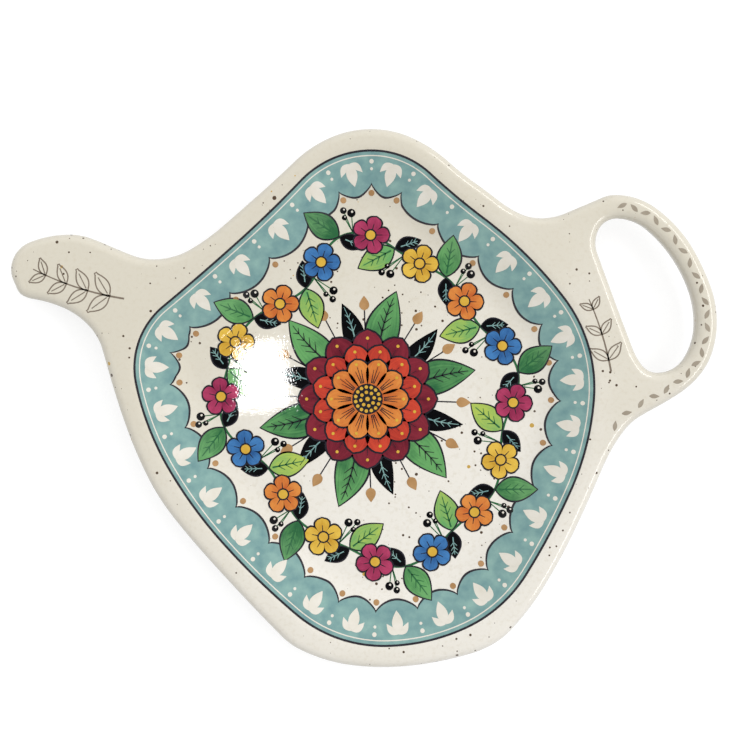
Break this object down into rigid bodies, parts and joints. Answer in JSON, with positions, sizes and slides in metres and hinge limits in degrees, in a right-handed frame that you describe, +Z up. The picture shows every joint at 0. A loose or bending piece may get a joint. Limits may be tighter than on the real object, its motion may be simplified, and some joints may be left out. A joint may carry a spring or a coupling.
{
  "type": "tea bag rest",
  "caption": "Flat teapot-shaped tea bag rest with a spout, a finger-loop handle and a shallow well, moulded in melamine under a printed and glazed face.",
  "frame": {"origin": "centre of the plan's bounding box, on the table under the foot ring", "axes": "+Z up out of the dish, +X from the spout towards the handle, +Y towards the lid's dome"},
  "size_m": [0.16, 0.122, 0.01],
  "materials": {
    "moulding": "cream-white melamine, smooth from a polished mould",
    "foil": "printed melamine foil with a cream ground",
    "glaze": "clear high-gloss melamine glaze"
  },
  "bodies": {
    "root": {"dish_moulding": "moulding", "decor_foil": "foil", "clear_glaze": "glaze"}
  },
  "joints": []
}
